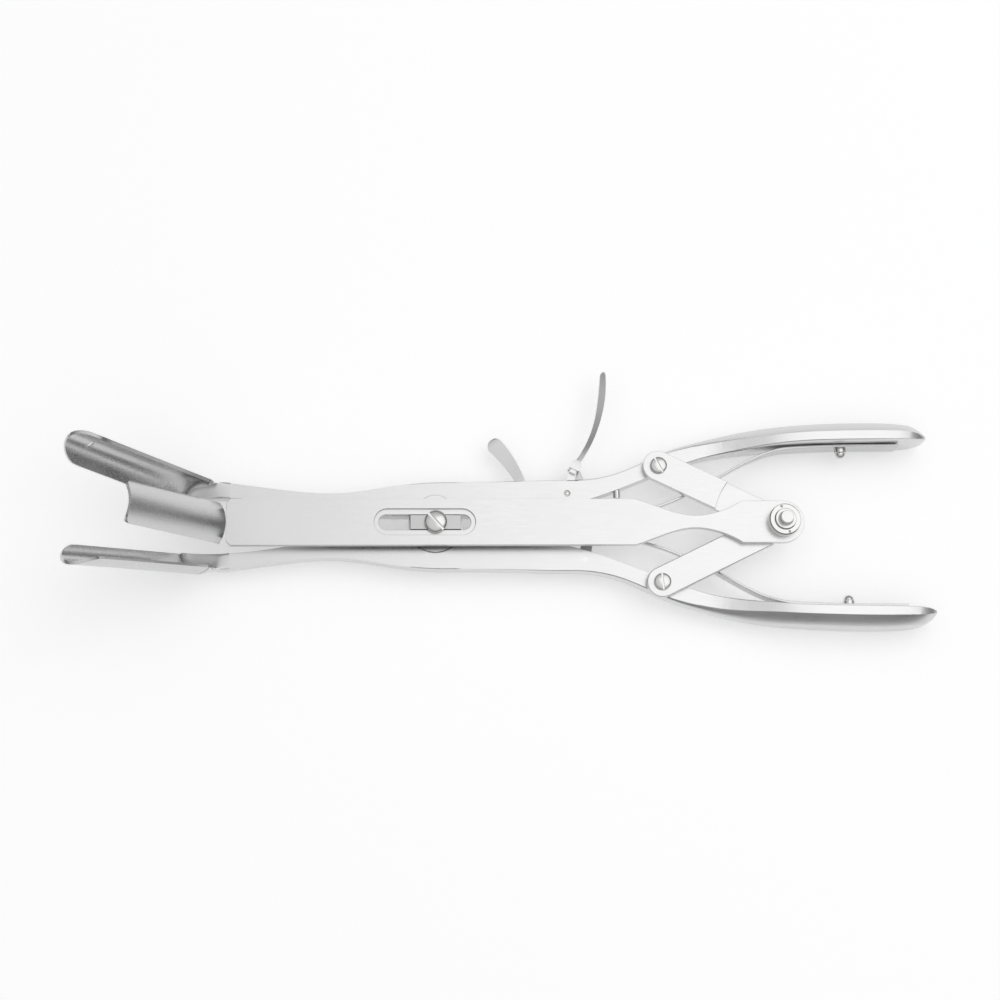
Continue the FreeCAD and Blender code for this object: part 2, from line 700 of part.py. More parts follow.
def lock_lever():
    """Finger lever: hub on its pin, curved finger, and a nose that bears on the rack."""
    x = LOCK.x
    y = LOCK.y
    thick = size("finger_thick")
    hub = plate("lock_hub", [circle(x, y, size("lock_hub"))], size("lock_bottom"), "Sizes.lock_thick")
    root = [(x + 0.1, y + 1.0), (x + 0.8, y + 3.2), (x + 2.0, y + 7.0)]
    neck_part = plate("lock_neck", ribbon(root, [2.6, 2.4, 2.4]), size("lock_bottom"), "Sizes.lock_thick")
    run = [(x + 1.7, y + 6.2), (x + 3.1, y + 8.9), (x + 6.4, y + 14.4), (x + 9.2, y + 20.8),
           (x + 11.0, y + 28.0), (x + 11.9, y + 37.4)]
    finger = plate("lock_strip", ribbon(run, [thick * 1.3, thick, thick, thick * 1.1, thick * 1.3, thick]),
                   size("lock_bottom"), "Sizes.finger_high")
    ring = plate("lock_collar", ribbon([(x + 2.2, y + 7.3), (x + 2.85, y + 8.6)], [3.2, 3.2]),
                 size("lock_bottom"), "Sizes.finger_high + 0.4")
    crest = size("rack_radius") - size("rack_wide") / 2 - size("nose_clear")
    nose = [at_angle(crest, 18.4), at_angle(crest, 19.3), at_angle(crest - 1.6, 19.9),
            at_angle(crest - 1.6, 17.9)]
    tooth = plate("lock_nose", polygon([(p.x, p.y) for p in nose]), size("rack_bottom"),
                  "Sizes.lock_bottom + 0.5 - Sizes.rack_bottom")
    blank = fuse("lock_blank", [hub, neck_part, ring, finger, tooth])
    bore = cylinder("lock_bore", "Sizes.lock_pin + Sizes.run_fit", "20", x, y, 0)
    return cut("lock_lever", blank, bore)


def lock_pocket():
    """Room in the upper arm for the lock lever's hub, neck and nose through their swing."""
    x = LOCK.x
    y = LOCK.y
    room = plate("lock_room", [circle(x, y, 2.5)], size("lock_bottom") - 0.25, "Sizes.lock_thick + 0.45")
    sweep = plate("lock_sweep", polygon([(x - 1.6, y), (x + 2.0, y), (x + 3.6, y + 8), (x - 3.4, y + 8)]),
                  size("lock_bottom") - 0.25, "Sizes.lock_thick + 0.45")
    crest = size("rack_radius") - size("rack_wide") / 2
    drop = plate("lock_drop", polygon([(crest - 5.8, y + 2.6), (crest - 0.5, y + 2.6), (crest - 0.5, y + 8),
                 (crest - 5.8, y + 8)]), 0, "Sizes.lock_bottom + 0.3")
    return [room, sweep, drop]


def thumb_rest():
    """Flat paddle set in the upper arm, for the thumb that works the finger lever."""
    run = [(27.2, 11.4), (25.9, 14.6), (23.4, 19.2), (18.6, 25.4)]
    return plate("thumb_rest", ribbon(run, [2.6, 2.8, 3.6, 4.6]), size("rest_bottom"), "Sizes.rest_thick")


def small_screw(label):
    """Head of a small screw set in the inner face of the upper arm."""
    head = cylinder(label, "Sizes.small_head", "Sizes.small_long", 0, 0, 0)
    place = V(55.0, 11.0, LAP_Z + 1.1)
    head.Placement = FreeCAD.Placement(place, FreeCAD.Rotation(Z_AXIS, V(0, -1, 0)))
    return head


def side_levers():
    """Both levers with their necks, grooves and pockets."""
    upper = fuse("upper_blank", [lever("upper_arm", 1, False), neck("upper_neck", 1)])
    lower = fuse("lower_blank", [lever("lower_arm", -1, True), neck("lower_neck", -1)])
    rest_copy = doc.addObject("Part::Feature", "rest_seat")
    rest_copy.Shape = rest.Shape
    screw_copy = doc.addObject("Part::Feature", "lock_screw_seat")
    screw_copy.Shape = lock_screw.Shape
    pin_bore = cylinder("lock_pin_bore", "Sizes.lock_pin", "20", LOCK.x, LOCK.y, 0)
    upper_tools = fuse("upper_tools", [rack_groove("upper_groove", 3, 28), pin_bore, rest_copy, screw_copy]
                       + lock_pocket())
    hole = at_angle(size("rack_radius"), RACK_HOLE_ANGLE)
    rack_bore = cylinder("rack_bore", str(RACK_SCREW), "20", hole.x, hole.y, 0)
    lower_tools = fuse("lower_tools", [rack_groove("lower_groove", size("rack_start") - 0.3, 0), rack_bore])
    return cut("upper_lever", upper, upper_tools), cut("lower_lever", lower, lower_tools)


rest = thumb_rest()
lock_screw = small_screw("lock_screw")
doc.recompute()
upper_lever, lower_lever = side_levers()
rack_spot = at_angle(size("rack_radius"), RACK_HOLE_ANGLE)
rack_foot = size("rack_bottom") - 1.0
rack_screw = fuse("rack_screw", [
    cylinder("rack_screw_head", "Sizes.rack_head", str(size("rack_bottom") - rack_foot), rack_spot.x,
             rack_spot.y, rack_foot),
    cylinder("rack_screw_shank", str(RACK_SCREW), str(LEVER_TOP - rack_foot), rack_spot.x, rack_spot.y,
             rack_foot)])
main_nut = plate("main_nut", [circle(0, 0, size("main_nut"))], 0, "Sizes.lever_bottom - Sizes.layer_gap")
pocket(main_nut, "main_nut_thread", [circle(0, 0, size("main_shank"))], "9", "0.6")

parts = [
    centre_bar(),
    gutter("centre_blade", "Sizes.centre_length", size("centre_half"), square_tip, 0, centre_root(), 0,
           False),
    rear_bolt(),
    rear_nut(),
    slide_block(),
    slotted_screw("main_screw", 0, 0, (0.6, MAIN_SEAT, MAIN_SEAT + size("main_head_high")),
                  ("main_shank", "main_head"), -48),
    main_nut,
    upper_lever,
    gutter("upper_blade", "Sizes.side_length", size("side_half"), round_tip, 120, side_root(1),
           -size("side_toe"), True),
    knee_screw("upper_knee_screw", 1, -62),
    leaf_spring("upper_leaf_spring", 1, LEVER_TOP - 1.9),
    stud("upper_spring_stud", 1),
    rest,
    lock_screw,
    cylinder("lock_pin", "Sizes.lock_pin", str(LEVER_TOP + 0.1 - PIN_FOOT), LOCK.x, LOCK.y, PIN_FOOT),
    lock_lever(),
    lower_lever,
    gutter("lower_blade", "Sizes.side_length", size("side_half"), round_tip, -120, side_root(-1),
           size("side_toe"), True),
    knee_screw("lower_knee_screw", -1, -86),
    leaf_spring("lower_leaf_spring", -1, size("lever_bottom") + 0.15),
    stud("lower_spring_stud", -1),
    ratchet_rack(),
    rack_screw,
    link("upper_link", 1, True),
    link("lower_link", -1, False),
]
write_model(parts)
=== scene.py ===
import bmesh
import bpy
import json
import math
from mathutils import Matrix, Vector


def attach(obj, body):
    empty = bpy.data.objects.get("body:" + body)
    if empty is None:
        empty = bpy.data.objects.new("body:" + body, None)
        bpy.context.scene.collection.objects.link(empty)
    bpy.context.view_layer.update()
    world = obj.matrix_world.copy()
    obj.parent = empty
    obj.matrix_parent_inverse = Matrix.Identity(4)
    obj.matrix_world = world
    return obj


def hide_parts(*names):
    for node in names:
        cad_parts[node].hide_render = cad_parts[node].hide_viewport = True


# Looks of a three-bladed retractor in satin stainless steel, lying on a pale table.
# Metres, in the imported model's frame. Names that end in _MM are lengths in millimetres,
# names that end in _DEG are angles in degrees.

MM = 0.001
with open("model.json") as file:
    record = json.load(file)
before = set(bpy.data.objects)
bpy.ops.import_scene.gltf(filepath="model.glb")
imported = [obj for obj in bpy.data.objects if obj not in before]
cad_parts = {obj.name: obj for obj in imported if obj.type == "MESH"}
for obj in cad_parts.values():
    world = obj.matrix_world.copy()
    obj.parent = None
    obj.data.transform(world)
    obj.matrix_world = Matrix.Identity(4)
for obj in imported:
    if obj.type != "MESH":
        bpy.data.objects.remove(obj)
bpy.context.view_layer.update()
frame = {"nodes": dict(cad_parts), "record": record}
SLOTS = {row["node"]: row["material_slot"] for row in frame["record"]["subparts"]}

# Floor, lens and light
FLOOR_SIZE = 3.0
FLOOR_WHITE = (0.94, 0.94, 0.94, 1)
FLOOR_ROUGH = 0.9
FLOOR_GLOW = 0.34
CAMERA_DISTANCE = 0.62
CAMERA_TILT_DEG = 14.0
CAMERA_SWING_DEG = 4.0
SENSOR = 36.0
VIEW_SPAN = 0.300
AIM = Vector((0.0195, 0.0076, 0.010))
WALL_HEIGHT = 0.15
WALL_LIGHT = (0.10, 0.10, 0.105, 1)
CEILING_HEIGHT = 0.92
CEILING_LIGHT = (0.86, 0.86, 0.86, 1)
LAMP_PLACE = (0.45, 0.22, 1.0)
LAMP_SIZE = (0.8, 0.9)
LAMP_POWER = 1.3

# Steel: the grain is drawn out along X, the clouds are smears of handling
GRAIN_ALONG = 0.04
GRAIN_DETAIL = 6.0
GRAIN_DEPTH_MM = 0.03
CLOUD_SCALE = 55.0
CLOUD_DETAIL = 3.0
CLOUD_DARKER = 0.92
CLOUD_LOW = 0.25
CLOUD_HIGH = 0.75
SPREAD_LOW = 0.3
SPREAD_HIGH = 0.7

# Work on meshes
WELD_MM = 0.001
FLAT_DEG = 0.3
SHARP_DEG = 34.0
EDGE_DEG = 38.0
AXIS_MM = 0.01

# Heights and places repeated from the part's sizes
LEVER_BOTTOM_MM = 4.6
LEVER_TOP_MM = 9.1
LINK_TOP_MM = 11.65
BAR_TOP_MM = 14.0
MAIN_SEAT_MM = 13.3
KNEE_X_MM = 67.5
KNEE_Y_MM = 17.9
REAR_X_MM = 104.386
STUD_X_MM = 124.5
STUD_Y_MM = 24.3
LOCK_PIN_MM = (39.9, 9.9)
HANDLE_MIDDLE_MM = 7.0
HANDLE_END_MM = 151.0
BOSS_Y_MM = 3.3
BOSS_RADIUS_MM = 5.6
BLADE_RISE_DEG = 48.0
BLADE_TOE_DEG = 8.5
BLADE_ROLL_DEG = 120.0
BLADE_HALF_DEG = 56.0
BLADE_ROOT_X_MM = 70.5
BLADE_ROOT_Y_MM = 6.2
BLADE_ROOT_Z_MM = 9.85
BLADE_RADIUS_MM = 8.5
BLADE_WALL_MM = 1.0
BLADE_LENGTH_MM = 48.0
EYELET_BACK_MM = 8.0
EYELET_LONG_MM = 3.4
EYELET_WIDE_MM = 1.3

# Skin that rounds a lever: it stands proud above and below, so that only corners are cut
SKIN_STEP_MM = 1.5
SKIN_PROUD_MM = 0.25
SKIN_INSET_MM = 0.03
SKIN_OVERLAP_MM = 0.02
SKIN_SHORT_MM = 0.3
LAP_REACH_MM = 13
LAP_INNER_MM = -12.0
BOSS_MARGIN_MM = 2
BOSS_LIP_MM = 0.35
GRIP_FROM_MM = 58
GRIP_FULL_MM = 104
ARM_FROM_MM = -10
ARM_FULL_MM = 62
ARM_ROUND_Y_MM = 0.55
ARM_ROUND_Z_MM = 0.8
ARM_GROWTH_MM = 0.8
GRIP_FACET = 0.56
FACET_STRAIGHT = 0.8
INNER_ROUND_MM = 0.55
INNER_GROWTH_MM = 0.5
INNER_LIMIT = 0.3
OUTER_LIMIT = 0.6
TALL_LIMIT = 0.48

# Neck between a lever's arm and the foot of its blade
NECK_FROM_MM = -61.0
NECK_INNER_MM = 8.33
NECK_OUTER_MM = 13.17
NECK_PULL_MM = 17.0
NECK_LEAN = 0.12
NECK_FOOT_PULL = 0.3
NECK_RINGS = 18
NECK_EDGE_POWER = 8
NECK_EDGE_DROP = 0.12
FOOT_BELOW_MM = 0.2
FOOT_PROUD_MM = 0.02
FOOT_THICKER_MM = 0.9

# Side blade as a grid of rings
TROUGH_STEPS = 24
STRAIGHT_RINGS = 26
STRAIGHT_DIVISIONS = 30
TIP_ANGLES = range(8, 90, 6)
TIP_LEAST_MM2 = 0.04
EYELET_STEPS = 24
EYELET_REACH_MM = 2


def new_material(name):
    material = bpy.data.materials.new(name)
    material.use_nodes = True
    tree = material.node_tree
    tree.nodes.clear()
    output = tree.nodes.new("ShaderNodeOutputMaterial")
    shader = tree.nodes.new("ShaderNodeBsdfPrincipled")
    tree.links.new(shader.outputs["BSDF"], output.inputs["Surface"])
    return material, tree, shader


def noise(tree, source, scale, detail):
    texture = tree.nodes.new("ShaderNodeTexNoise")
    texture.inputs["Scale"].default_value = scale
    texture.inputs["Detail"].default_value = detail
    tree.links.new(source, texture.inputs["Vector"])
    return texture.outputs["Fac"]


def steel(name, colour, rough, grain, grain_scale, smear=0.12):
    """Satin steel: fine scratches along X, and soft smears where it has been handled."""
    material, tree, shader = new_material(name)
    nodes = tree.nodes
    links = tree.links
    shader.inputs["Metallic"].default_value = 1.0
    place = nodes.new("ShaderNodeTexCoord")
    stretch = nodes.new("ShaderNodeMapping")
    stretch.inputs["Scale"].default_value = (grain_scale * GRAIN_ALONG, grain_scale, grain_scale)
    links.new(place.outputs["Object"], stretch.inputs["Vector"])
    scratch = noise(tree, stretch.outputs["Vector"], 1.0, GRAIN_DETAIL)
    cloud = noise(tree, place.outputs["Object"], CLOUD_SCALE, CLOUD_DETAIL)
    tint = nodes.new("ShaderNodeValToRGB")
    tint.color_ramp.elements[0].position = CLOUD_LOW
    tint.color_ramp.elements[0].color = [c * CLOUD_DARKER for c in colour] + [1]
    tint.color_ramp.elements[1].position = CLOUD_HIGH
    tint.color_ramp.elements[1].color = list(colour) + [1]
    links.new(cloud, tint.inputs["Fac"])
    links.new(tint.outputs["Color"], shader.inputs["Base Color"])
    both = nodes.new("ShaderNodeMix")
    both.inputs["Factor"].default_value = 0.5
    links.new(scratch, both.inputs["A"])
    links.new(cloud, both.inputs["B"])
    spread = nodes.new("ShaderNodeMapRange")
    spread.inputs["From Min"].default_value = SPREAD_LOW
    spread.inputs["From Max"].default_value = SPREAD_HIGH
    spread.inputs["To Min"].default_value = rough - smear / 2
    spread.inputs["To Max"].default_value = rough + smear / 2
    links.new(both.outputs["Result"], spread.inputs["Value"])
    links.new(spread.outputs["Result"], shader.inputs["Roughness"])
    bump = nodes.new("ShaderNodeBump")
    bump.inputs["Strength"].default_value = grain
    bump.inputs["Distance"].default_value = GRAIN_DEPTH_MM * MM
    links.new(scratch, bump.inputs["Height"])
    links.new(bump.outputs["Normal"], shader.inputs["Normal"])
    return material


MATERIALS = {
    "satin_steel": steel("satin_steel_look", (0.74, 0.74, 0.74), 0.30, 0.08, 4200),
    "blade_steel": steel("blade_steel_look", (0.66, 0.66, 0.66), 0.27, 0.07, 3600),
    "spring_steel": steel("spring_steel_look", (0.60, 0.60, 0.60), 0.24, 0.12, 5200),
    "fastener_steel": steel("fastener_steel_look", (0.70, 0.70, 0.69), 0.20, 0.10, 5200, 0.08),
    "guide_steel": steel("guide_steel_look", (0.56, 0.56, 0.56), 0.32, 0.10, 5200),
}


def dress_nodes():
    for name, node in frame["nodes"].items():
        node.data.materials.clear()
        node.data.materials.append(MATERIALS[SLOTS[name]])


def body_of(node):
    bodies = frame["record"]["behaviour"]["bodies"]
    return [name for name, nodes in bodies.items() if node in nodes][0]


def add_piece(name, mesh, node):
    """Show a mesh in place of a CAD node, on the node's body and in its finish."""
    piece = bpy.data.objects.new(name, mesh)
    bpy.context.collection.objects.link(piece)
    mesh.materials.clear()
    mesh.materials.append(MATERIALS[SLOTS[node]])
    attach(piece, body_of(node))
    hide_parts(node)
    return piece


# Meshes

def smooth(mesh):
    for face in mesh.polygons:
        face.use_smooth = True


def soften(mesh, degrees=SHARP_DEG):
    smooth(mesh)
    mesh.set_sharp_from_angle(angle=math.radians(degrees))


def even_normals(piece):
    weigh = piece.modifiers.new("even_normals", "WEIGHTED_NORMAL")
    weigh.keep_sharp = True


def break_edges(piece, width_mm, segments, degrees=EDGE_DEG):
    """Round the edges that are sharper than an angle."""
    bevel = piece.modifiers.new("broken_edges", "BEVEL")
    bevel.width = width_mm * MM
    bevel.segments = segments
    bevel.limit_method = "ANGLE"
    bevel.angle_limit = math.radians(degrees)
    even_normals(piece)


def node_mesh(node, whole_faces=True):
    """Copy of a node's mesh, welded, with its own normals dropped."""
    mesh = frame["nodes"][node].data.copy()
    for name in ("custom_normal", "sharp_edge", "sharp_face"):
        if name in mesh.attributes:
            mesh.attributes.remove(mesh.attributes[name])
    work = bmesh.new()
    work.from_mesh(mesh)
    bmesh.ops.remove_doubles(work, verts=work.verts, dist=WELD_MM * MM)
    if whole_faces:
        bmesh.ops.dissolve_limit(work, angle_limit=math.radians(FLAT_DEG), verts=work.verts,
                                 edges=work.edges)
    work.to_mesh(mesh)
    work.free()
    return mesh


def mesh_from(name, points_mm, faces):
    mesh = bpy.data.meshes.new(name)
    mesh.from_pydata([Vector(p) * MM for p in points_mm], [], faces)
    mesh.update()
    return mesh


def fix_facing(mesh):
    work = bmesh.new()
    work.from_mesh(mesh)
    bmesh.ops.recalc_face_normals(work, faces=work.faces)
    work.to_mesh(mesh)
    work.free()
    return mesh


def boolean(base, tool, operation):
    """Mesh of two meshes combined."""
    first = bpy.data.objects.new("combine_base", base)
    second = bpy.data.objects.new("combine_tool", tool)
    for item in (first, second):
        bpy.context.collection.objects.link(item)
    step = first.modifiers.new("combine", "BOOLEAN")
    step.operation = operation
    step.solver = "EXACT"
    step.object = second
    bpy.context.view_layer.update()
    seen = first.evaluated_get(bpy.context.evaluated_depsgraph_get())
    result = bpy.data.meshes.new_from_object(seen)
    for item in (first, second):
        bpy.data.objects.remove(item)
    return result


def tube(sections):
    """Closed skin over equal rings of points, capped at both ends."""
    count = len(sections[0])
    points = [p for ring in sections for p in ring]
    faces = []
    for row in range(len(sections) - 1):
        for col in range(count):
            after = (col + 1) % count
            faces.append((row * count + col, row * count + after,
                          (row + 1) * count + after, (row + 1) * count + col))
    faces.append(tuple(reversed(range(count))))
    faces.append(tuple(range((len(sections) - 1) * count, len(sections) * count)))
    return points, faces


def skin(name, sections):
    points, faces = tube(sections)
    return fix_facing(mesh_from(name, points, faces))


def circle_angles(steps):
    return [2 * math.pi * k / steps for k in range(steps)]


def turned(name, profile, centre_mm, axis=(0, 0, 1), steps=56):
    """Mesh of a profile of radius and height, turned round an axis through a point."""
    spin = Vector(axis).to_track_quat("Z", "Y").to_matrix()
    rings = []
    for radius, height in profile:
        ring = []
        for a in circle_angles(steps):
            local = Vector((radius * math.cos(a), radius * math.sin(a), height))
            ring.append(Vector(centre_mm) + spin @ local)
        rings.append(ring)
    return skin(name, rings)


def arc(cx, cy, rx, ry, start, stop, steps):
    angles = [math.radians(start + (stop - start) * k / steps) for k in range(steps + 1)]
    return [(cx + rx * math.cos(a), cy + ry * math.sin(a)) for a in angles]


def ease_in(value, low, high):
    t = min(max((value - low) / (high - low), 0.0), 1.0)
    return t * t * (3 - 2 * t)


# Pieces that keep the node's own shape

def eased(node, width_mm, segments=2):
    """The node's own shape with its sharp edges broken."""
    mesh = node_mesh(node)
    smooth(mesh)
    break_edges(add_piece(node + "_eased", mesh, node), width_mm, segments)


def rolled_over(node, drop_mm, from_y_mm):
    """The node's own shape, beyond a place along Y with its top leaning toward the blades."""
    wall_level = 0.3
    wall_toward = -0.25
    run_in_mm = 8
    mesh = node_mesh(node)
    smooth(mesh)
    work = bmesh.new()
    work.from_mesh(mesh)
    middle = sum(v.co.z for v in work.verts) / len(work.verts)
    for vert in work.verts:
        walls = [f for f in vert.link_faces
                 if abs(f.normal.z) < wall_level and f.normal.x < wall_toward]
        if walls and vert.co.z > middle:
            vert.co.z -= drop_mm * MM * ease_in(vert.co.y / MM, from_y_mm, from_y_mm + run_in_mm)
    wide = [f for f in work.faces if len(f.verts) > 4]
    bmesh.ops.triangulate(work, faces=wide, ngon_method="BEAUTY")
    bmesh.ops.recalc_face_normals(work, faces=work.faces)
    work.to_mesh(mesh)
    work.free()
    break_edges(add_piece(node + "_rolled", mesh, node), 0.25, 2)


# Forged levers

def cross_extent(mesh, side, x_mm):
    """Inner and outer edge, bottom and top of a lever where the plane at x cuts its mesh."""
    x = x_mm * MM
    hits = []
    for edge in mesh.edges:
        a = mesh.vertices[edge.vertices[0]].co
        b = mesh.vertices[edge.vertices[1]].co
        if (a.x - x) * (b.x - x) <= 0 and a.x != b.x:
            spot = a.lerp(b, (x - a.x) / (b.x - a.x))
            hits.append((side * spot.y / MM, spot.z / MM))
    wide = [h[0] for h in hits]
    high = [h[1] for h in hits]
    return min(wide), max(wide), min(high), max(high)


def rounded_section(inner, outer, low, high, big, small, facet):
    """Ring in the plane of y and z: wide rounding on the outer side, narrow on the inner one.

    A facet of 1 makes the upper outer rounding nearly straight.
    """
    big_y, big_z = big
    small_y, small_z = small
    power = 1 + FACET_STRAIGHT * facet
    ring = []
    for y, z in arc(0, 0, 1, 1, 0, 90, 10):
        ring.append((outer - big_y * (1 - abs(y) ** power), high - big_z * (1 - abs(z) ** power)))
    ring += arc(inner + small_y, high - small_z, small_y, small_z, 90, 180, 3)
    ring += arc(inner + small_y, low + small_z, small_y, small_z, 180, 270, 3)
    ring += arc(outer - big_y, low + big_z, big_y, big_z, 270, 360, 8)
    return ring


def lever_envelope(mesh, side):
    """Skin that trims a lever's corners: slightly along the arm, into a broad facet on the grip."""
    proud = SKIN_PROUD_MM
    rings = []
    x = NECK_FROM_MM
    while x < HANDLE_END_MM - SKIN_SHORT_MM:
        inner, outer, low, high = cross_extent(mesh, side, x)
        if abs(x) < LAP_REACH_MM:
            inner = LAP_INNER_MM
        if abs(x) < BOSS_RADIUS_MM + BOSS_MARGIN_MM and high > LEVER_TOP_MM:
            high = LEVER_TOP_MM - proud + SKIN_OVERLAP_MM
        grip = ease_in(x, GRIP_FROM_MM, GRIP_FULL_MM)
        arm = ease_in(x, ARM_FROM_MM, ARM_FULL_MM)
        wide = outer - inner
        tall = high - low
        big_y = (ARM_ROUND_Y_MM + ARM_GROWTH_MM * arm) * (1 - grip) + GRIP_FACET * wide * grip
        big_z = (ARM_ROUND_Z_MM + ARM_GROWTH_MM * arm) * (1 - grip) + GRIP_FACET * wide * grip
        small = min(INNER_ROUND_MM + INNER_GROWTH_MM * grip, wide * INNER_LIMIT)
        big = (min(big_y, wide * OUTER_LIMIT), min(tall * TALL_LIMIT, big_z) + proud)
        ring = rounded_section(inner, outer - SKIN_INSET_MM, low - proud, high + proud, big,
                               (small, small + proud), grip)
        rings.append([(x, side * y, z) for y, z in ring])
        x += SKIN_STEP_MM
    return skin("lever_envelope", rings)


def forged_lever(node, side):
    """Lever with rounded corners, its neck, and on the upper one the boss of the lap joint."""
    mesh = node_mesh(node, whole_faces=False)
    result = boolean(mesh, lever_envelope(mesh, side), "INTERSECT")
    work = bmesh.new()
    work.from_mesh(result)
    work.from_mesh(neck_mesh(side))
    if side > 0:
        foot = LEVER_TOP_MM - 1
        rim = [(AXIS_MM, foot), (BOSS_RADIUS_MM, foot), (BOSS_RADIUS_MM, LINK_TOP_MM - BOSS_LIP_MM),
               (BOSS_RADIUS_MM - BOSS_LIP_MM, LINK_TOP_MM), (AXIS_MM, LINK_TOP_MM)]
        work.from_mesh(turned("boss", rim, (0, BOSS_Y_MM, 0)))
    work.to_mesh(result)
    work.free()
    soften(result)
    even_normals(add_piece(node + "_forged", result, node))


# Side blades and the necks that carry them

def blade_frame(side):
    """Turn and place of a side blade: its Z runs to the tip, its X to the crown of the trough."""
    lean = Matrix.Rotation(math.radians(-(90 - BLADE_RISE_DEG)), 3, "Y")
    toe = Matrix.Rotation(math.radians(-side * BLADE_TOE_DEG), 3, "Z")
    roll = Matrix.Rotation(math.radians(side * BLADE_ROLL_DEG), 3, "Z")
    root = Vector((-BLADE_ROOT_X_MM, side * BLADE_ROOT_Y_MM, BLADE_ROOT_Z_MM))
    return toe @ lean @ roll, root


def ring_shares(order):
    """Places across a trough's section from -1 to 1, in the direction that order gives."""
    return [order * (2 * k / TROUGH_STEPS - 1) for k in range(TROUGH_STEPS + 1)]


def trough_ring(reach, height, outer, inner):
    """Ring round a trough's section: outer arc, then inner arc, both over the same half angle."""
    ring = []
    for radius, order in ((outer, 1), (inner, -1)):
        for share in ring_shares(order):
            a = reach * share
            ring.append((radius * math.cos(a), radius * math.sin(a), height))
    return ring


def eyelet_tool(turn, root, radii):
    """Long round-ended pin through a blade's wall near its tip."""
    half_wide = EYELET_WIDE_MM / 2
    rings = []
    for radius in radii:
        ring = []
        for a in circle_angles(EYELET_STEPS):
            along = BLADE_LENGTH_MM - EYELET_BACK_MM + half_wide * math.sin(a)
            across = (EYELET_LONG_MM - EYELET_WIDE_MM) / 2 * (1 if math.cos(a) > 0 else -1)
            across += half_wide * math.cos(a)
            ring.append(root + turn @ Vector((radius, across, along)))
        rings.append(ring)
    return skin("eyelet_tool", rings)


def side_blade(node, side):
    """Trough with a round tip, even walls and a long eyelet near its end."""
    turn, root = blade_frame(side)
    outer = BLADE_RADIUS_MM
    inner = outer - BLADE_WALL_MM
    tip_r = outer * math.sin(math.radians(BLADE_HALF_DEG))
    heights = [BLADE_LENGTH_MM * k / STRAIGHT_DIVISIONS for k in range(STRAIGHT_RINGS)]
    heights += [BLADE_LENGTH_MM - tip_r * (1 - math.sin(math.radians(a))) for a in TIP_ANGLES]
    rings = []
    for height in sorted(heights):
        over = max(height - (BLADE_LENGTH_MM - tip_r), 0.0)
        reach = math.asin(math.sqrt(max(tip_r ** 2 - over ** 2, TIP_LEAST_MM2)) / outer)
        rings.append([root + turn @ Vector(p) for p in trough_ring(reach, height, outer, inner)])
    tool = eyelet_tool(turn, root, (inner - EYELET_REACH_MM, outer + EYELET_REACH_MM))
    mesh = boolean(skin(node + "_sheet", rings), tool, "DIFFERENCE")
    smooth(mesh)
    break_edges(add_piece(node + "_pressed", mesh, node), 0.22, 2, 50)


def neck_mesh(side):
    """Forged neck: the arm's section turns and thins into the foot of the side blade."""
    turn, root = blade_frame(side)
    outer = BLADE_RADIUS_MM + FOOT_PROUD_MM
    inner = outer - BLADE_WALL_MM - FOOT_THICKER_MM
    crescent = trough_ring(math.radians(BLADE_HALF_DEG), -FOOT_BELOW_MM, outer, inner)
    foot = [root + turn @ Vector(p) for p in crescent]
    flip = -1 if abs(foot[0].y) > abs(foot[TROUGH_STEPS].y) else 1
    middle = (NECK_INNER_MM + NECK_OUTER_MM) / 2
    half = (NECK_OUTER_MM - NECK_INNER_MM) / 2
    z_middle = (LEVER_BOTTOM_MM + LEVER_TOP_MM) / 2
    z_half = (LEVER_TOP_MM - LEVER_BOTTOM_MM) / 2
    arm = []
    for order in (1, -1):
        for share in ring_shares(order):
            u = share * flip
            drop = 1 - (abs(u) ** NECK_EDGE_POWER) * NECK_EDGE_DROP
            z = z_middle - order * z_half * drop
            arm.append(Vector((NECK_FROM_MM, side * (middle + half * u), z)))
    start_pull = Vector((-1, side * NECK_LEAN, 0)) * NECK_PULL_MM
    end_pull = turn @ Vector((0, 0, 1)) * NECK_PULL_MM * NECK_FOOT_PULL
    rings = []
    for k in range(NECK_RINGS + 1):
        t = k / NECK_RINGS
        from_arm = 2 * t ** 3 - 3 * t ** 2 + 1
        from_start = t ** 3 - 2 * t ** 2 + t
        from_foot = -2 * t ** 3 + 3 * t ** 2
        from_end = t ** 3 - t ** 2
        rings.append([a * from_arm + start_pull * from_start + b * from_foot + end_pull * from_end
                      for a, b in zip(arm, foot)])
    return skin("neck", rings)


# Screws, nut and rivets, turned from pairs of radius and height

def slotted_head(node, centre, sizes, turn, cut):
    """Screw with a crowned head: sizes are shank and head radius, foot, seat and crown."""
    shank, head, foot, seat, crown = sizes
    slot_wide, slot_deep = cut
    rise = (crown - seat) * 0.42
    rim = [(AXIS_MM, foot), (shank, foot), (shank, seat), (head - 0.08, seat), (head, seat + 0.1)]
    rim += [(head, crown - rise)]
    rim += [(head * math.cos(math.radians(a)), crown - rise + rise * math.sin(math.radians(a)))
            for a in (18, 36, 54, 70, 82)]
    rim += [(AXIS_MM, crown)]
    blank = turned(node + "_blank", rim, (centre[0], centre[1], 0))
    far = head + 1
    half = slot_wide / 2
    spin = Matrix.Rotation(math.radians(turn), 3, "Z")
    shift = Vector((centre[0], centre[1], 0))
    corners = [(-far, -half), (far, -half), (far, half), (-far, half)]
    box = [(x, y, z) for z in (crown - slot_deep, crown + 1) for x, y in corners]
    faces = [(3, 2, 1, 0), (4, 5, 6, 7), (0, 1, 5, 4), (1, 2, 6, 5), (2, 3, 7, 6), (3, 0, 4, 7)]
    tool = mesh_from("slot_tool", [spin @ Vector(p) + shift for p in box], faces)
    mesh = boolean(blank, tool, "DIFFERENCE")
    soften(mesh, 40)
    even_normals(add_piece(node + "_crowned", mesh, node))


